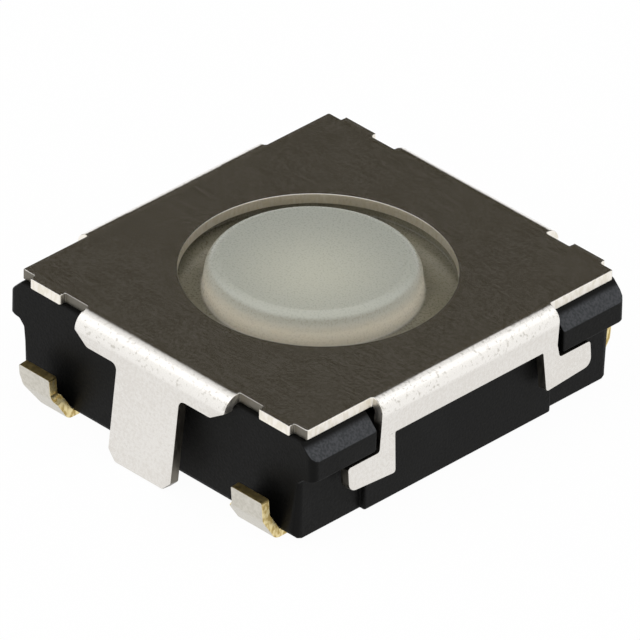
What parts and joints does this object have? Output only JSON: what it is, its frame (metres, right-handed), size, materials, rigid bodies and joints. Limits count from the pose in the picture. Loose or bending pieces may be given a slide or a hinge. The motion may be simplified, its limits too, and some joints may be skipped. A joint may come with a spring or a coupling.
{
  "type": "tactile push button switch",
  "caption": "Surface-mount tactile switch: black base, stamped steel cover with a round window, ground tabs and hooked skirts, translucent button on a snap dome.",
  "frame": {"origin": "centre of the footprint on the board, at the height of the undersides of the terminals and ground tabs", "axes": "+Z away from the board, along the button's axis; X across the two hooked skirts; Y across the ground tabs and the solder terminals"},
  "size_m": [0.0062, 0.007, 0.0021],
  "materials": {
    "base_resin": "moulded, fine matt",
    "cover_steel": "bright rolled sheet with fine brushing",
    "button_resin": "satin, translucent milky",
    "dome_steel": "plated spring strip",
    "contact_brass": "silver-plated brass with bare cut edges"
  },
  "bodies": {
    "housing": {"base_housing": "base_resin", "cover": "cover_steel", "snap_dome": "dome_steel", "outer_contact": "contact_brass", "centre_contact": "contact_brass"},
    "button": {"push_button": "button_resin"}
  },
  "joints": [
    {"name": "button_press", "type": "slide", "parent": "housing", "child": "button", "axis": [0, 0, -1], "range_m": [0, 0.00025], "stiffness_N_per_m": 6400, "deforming": ["snap_dome"]}
  ]
}
